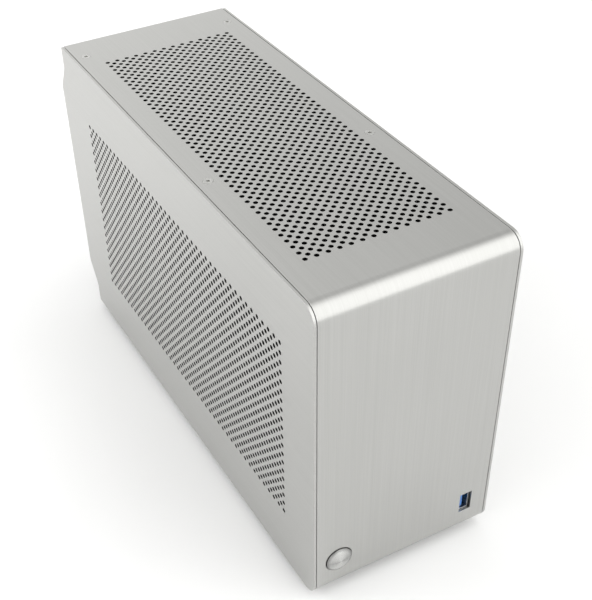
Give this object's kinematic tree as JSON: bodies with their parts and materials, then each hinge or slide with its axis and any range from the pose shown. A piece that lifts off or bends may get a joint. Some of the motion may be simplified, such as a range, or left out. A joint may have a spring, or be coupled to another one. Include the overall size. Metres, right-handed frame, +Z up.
{
  "type": "desktop computer tower",
  "caption": "Slim desktop computer tower: brushed sheet-metal case with perforated top and sides, round power button, upright USB port, and fitted board, power supply and graphics card.",
  "frame": {"origin": "middle of the bounding box's base, on the surface that the feet stand on", "axes": "+Z up, the front faces -Y, +X is right as seen from the front"},
  "size_m": [0.116, 0.3302, 0.205],
  "materials": {
    "silver_sheet": "brushed and clear anodised",
    "chassis_sheet": "zinc-plated, rolled grain",
    "button_metal": "polished dome",
    "screw_steel": "nickel-plated",
    "port_steel": "bright nickel-plated",
    "black_plastic": "moulded, fine texture",
    "grey_plastic": "moulded, fine texture",
    "blue_plastic": "moulded",
    "green_board": "solder mask on laminate",
    "black_board": "solder mask on laminate",
    "foot_rubber": "matt moulded",
    "brass": "turned",
    "spring_steel": "drawn wire",
    "copper": "nickel-free copper",
    "fin_aluminium": "rolled",
    "black_heatsink": "black anodised",
    "psu_paint": "powder coat",
    "cable_sleeve": "matt jacket",
    "shroud_plastic": "satin moulded",
    "drive_metal": "black anodised"
  },
  "bodies": {
    "chassis": {"wrap_cover": "silver_sheet", "panel_clips": "black_plastic", "floor_panel": "chassis_sheet", "rear_panel": "silver_sheet", "front_frame": "chassis_sheet", "top_rails": "chassis_sheet", "divider": "chassis_sheet", "feet": "foot_rubber", "foot_screws": "screw_steel", "cover_screws": "screw_steel", "case_screws": "screw_steel", "button_housing": "black_plastic", "button_spring": "spring_steel", "button_switch": "grey_plastic", "usb_shell": "port_steel", "usb_tongue": "blue_plastic", "usb_board": "green_board", "mainboard": "black_board", "board_standoffs": "brass", "board_screws": "screw_steel", "io_shield": "port_steel", "rear_sockets": "port_steel", "audio_jacks": "black_plastic", "processor": "port_steel", "vrm_heatsink": "black_heatsink", "board_sockets": "black_plastic", "memory_modules": "green_board", "cooler_base": "copper", "heat_pipes": "copper", "cooler_fins": "fin_aluminium", "cooler_fan_frame": "grey_plastic", "psu_case": "psu_paint", "psu_fan_guard": "spring_steel", "psu_fan_frame": "grey_plastic", "psu_switch_frame": "black_plastic", "psu_socket": "black_plastic", "mains_inlet": "black_plastic", "mains_plug": "cable_sleeve", "mains_cable": "cable_sleeve", "board_power_cables": "cable_sleeve", "card_power_cable": "cable_sleeve", "front_cables": "cable_sleeve", "graphics_board": "green_board", "graphics_ports": "port_steel", "graphics_heatsink": "fin_aluminium", "graphics_shroud": "shroud_plastic", "graphics_bracket": "port_steel", "riser_cable": "cable_sleeve", "riser_socket": "black_plastic", "drive": "drive_metal"},
    "button": {"power_button": "button_metal"},
    "left_side": {"left_panel": "silver_sheet", "left_panel_studs": "screw_steel"},
    "right_side": {"right_panel": "silver_sheet", "right_panel_studs": "screw_steel"},
    "cooler_rotor": {"cooler_fan": "black_plastic"},
    "psu_rotor": {"psu_fan": "black_plastic"},
    "front_card_rotor": {"graphics_fan_front": "black_plastic"},
    "rear_card_rotor": {"graphics_fan_rear": "black_plastic"},
    "psu_rocker": {"psu_switch": "black_plastic"}
  },
  "joints": [
    {"name": "power_button_press", "type": "slide", "parent": "chassis", "child": "button", "axis": [0, 1, 0], "range_m": [0, 0.0015], "stiffness_N_per_m": 600, "springref_m": -0.0015, "deforming": ["button_spring"]},
    {"name": "left_panel_pull", "type": "slide", "parent": "chassis", "child": "left_side", "axis": [-1, 0, 0], "range_m": [0, 0.08]},
    {"name": "right_panel_pull", "type": "slide", "parent": "chassis", "child": "right_side", "axis": [1, 0, 0], "range_m": [0, 0.08]},
    {"name": "cooler_fan_spin", "type": "hinge", "parent": "chassis", "child": "cooler_rotor", "pos_m": [-0.04, 0.0753, 0.113], "axis": [1, 0, 0], "continuous": true},
    {"name": "psu_fan_spin", "type": "hinge", "parent": "chassis", "child": "psu_rotor", "pos_m": [-0.046, -0.0827, 0.105], "axis": [1, 0, 0], "continuous": true},
    {"name": "front_card_fan_spin", "type": "hinge", "parent": "chassis", "child": "front_card_rotor", "pos_m": [0.042, -0.0466, 0.116], "axis": [1, 0, 0], "continuous": true},
    {"name": "rear_card_fan_spin", "type": "hinge", "parent": "chassis", "child": "rear_card_rotor", "pos_m": [0.042, 0.0534, 0.116], "axis": [1, 0, 0], "continuous": true},
    {"name": "psu_rocker_tip", "type": "hinge", "parent": "chassis", "child": "psu_rocker", "pos_m": [-0.02255, -0.1297, 0.0925], "axis": [1, 0, 0], "range_deg": [0, 16]}
  ]
}
